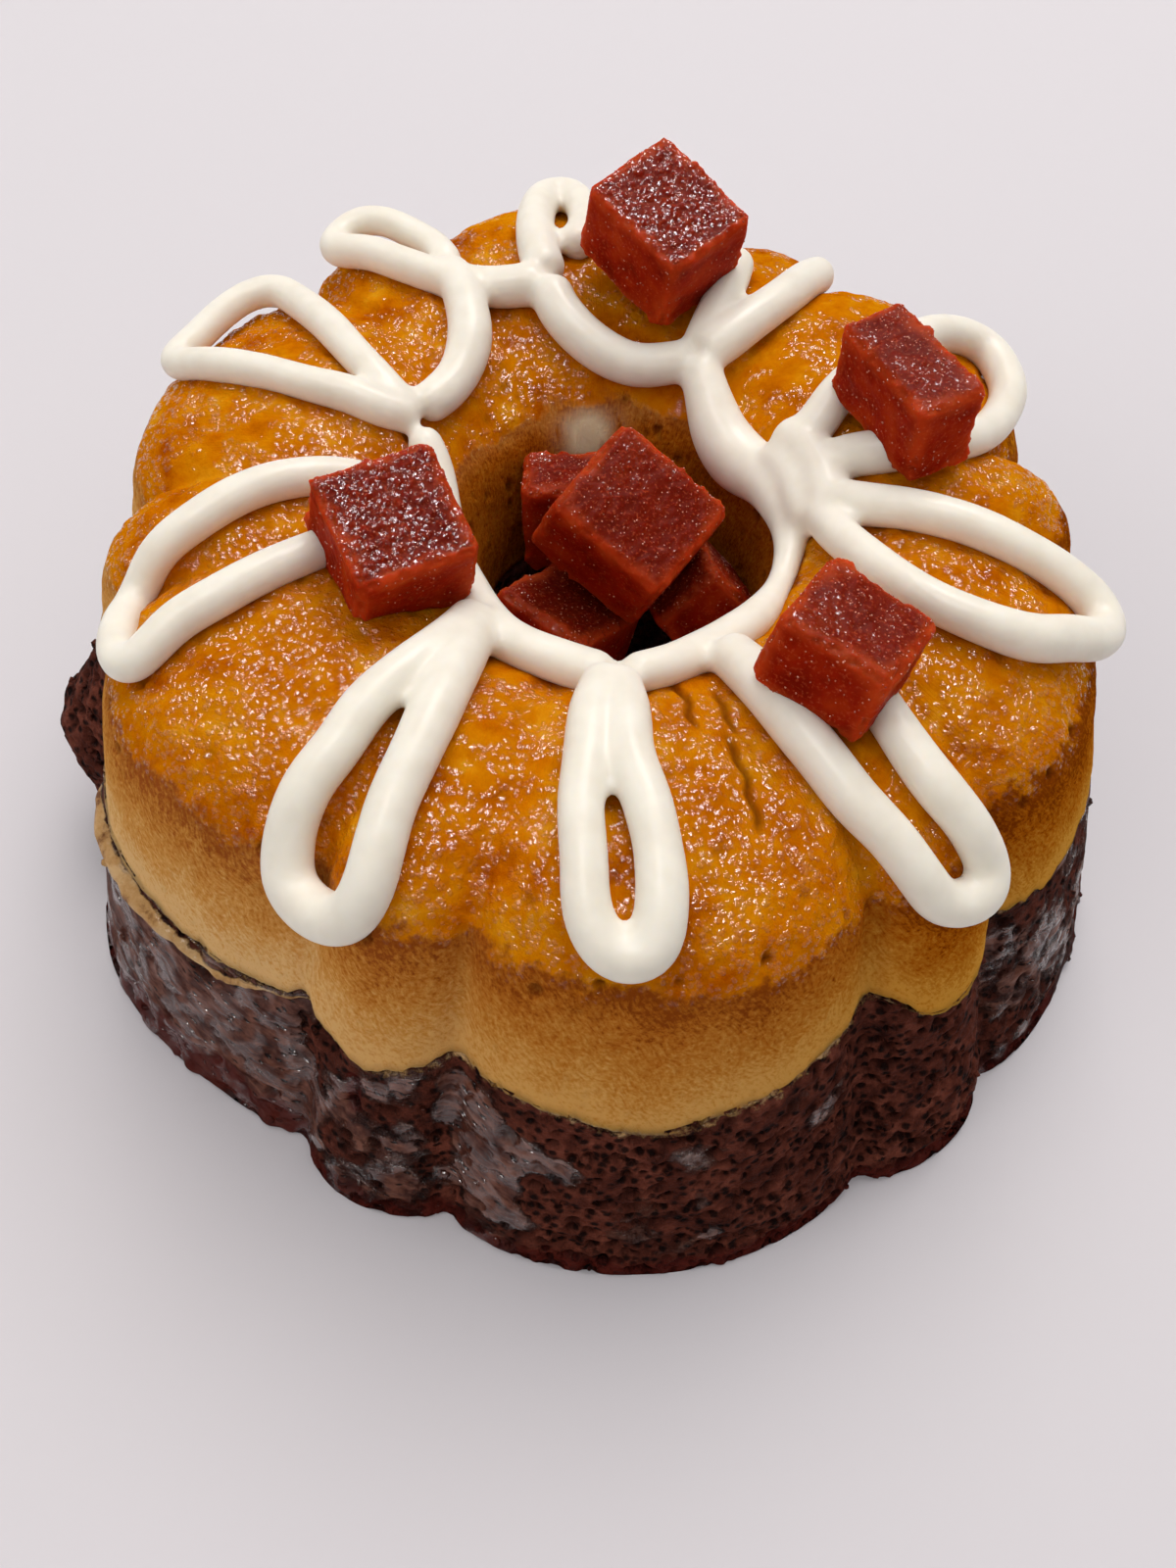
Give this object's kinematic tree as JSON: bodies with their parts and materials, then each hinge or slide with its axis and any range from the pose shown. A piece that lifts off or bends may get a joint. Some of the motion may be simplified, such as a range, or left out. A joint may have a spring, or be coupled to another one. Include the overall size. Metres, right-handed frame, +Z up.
{
  "type": "chocoflan",
  "caption": "Fluted ring cake of chocolate sponge below and caramel flan above, with piped icing loops and guava paste cubes on the crown and heaped in the centre hole.",
  "frame": {"origin": "middle of the cake's box, at the flat sole of the sponge where it stands", "axes": "+Z up, the front of the cake faces -Y"},
  "size_m": [0.1432, 0.15, 0.0734],
  "materials": {
    "chocolate_sponge": "moist open crumb, dark purplish brown, wet in places",
    "flan": "set custard, tan side and glossy orange caramel crown",
    "icing": "smooth glossy cream-white icing",
    "guava_paste": "deep red translucent paste with a grainy wet top"
  },
  "bodies": {
    "root": {"chocolate_sponge": "chocolate_sponge", "flan": "flan", "icing": "icing", "guava_cube_1": "guava_paste", "guava_cube_2": "guava_paste", "guava_cube_3": "guava_paste", "guava_cube_4": "guava_paste", "guava_cube_5": "guava_paste", "guava_cube_6": "guava_paste", "guava_cube_7": "guava_paste", "guava_cube_8": "guava_paste"}
  },
  "joints": []
}
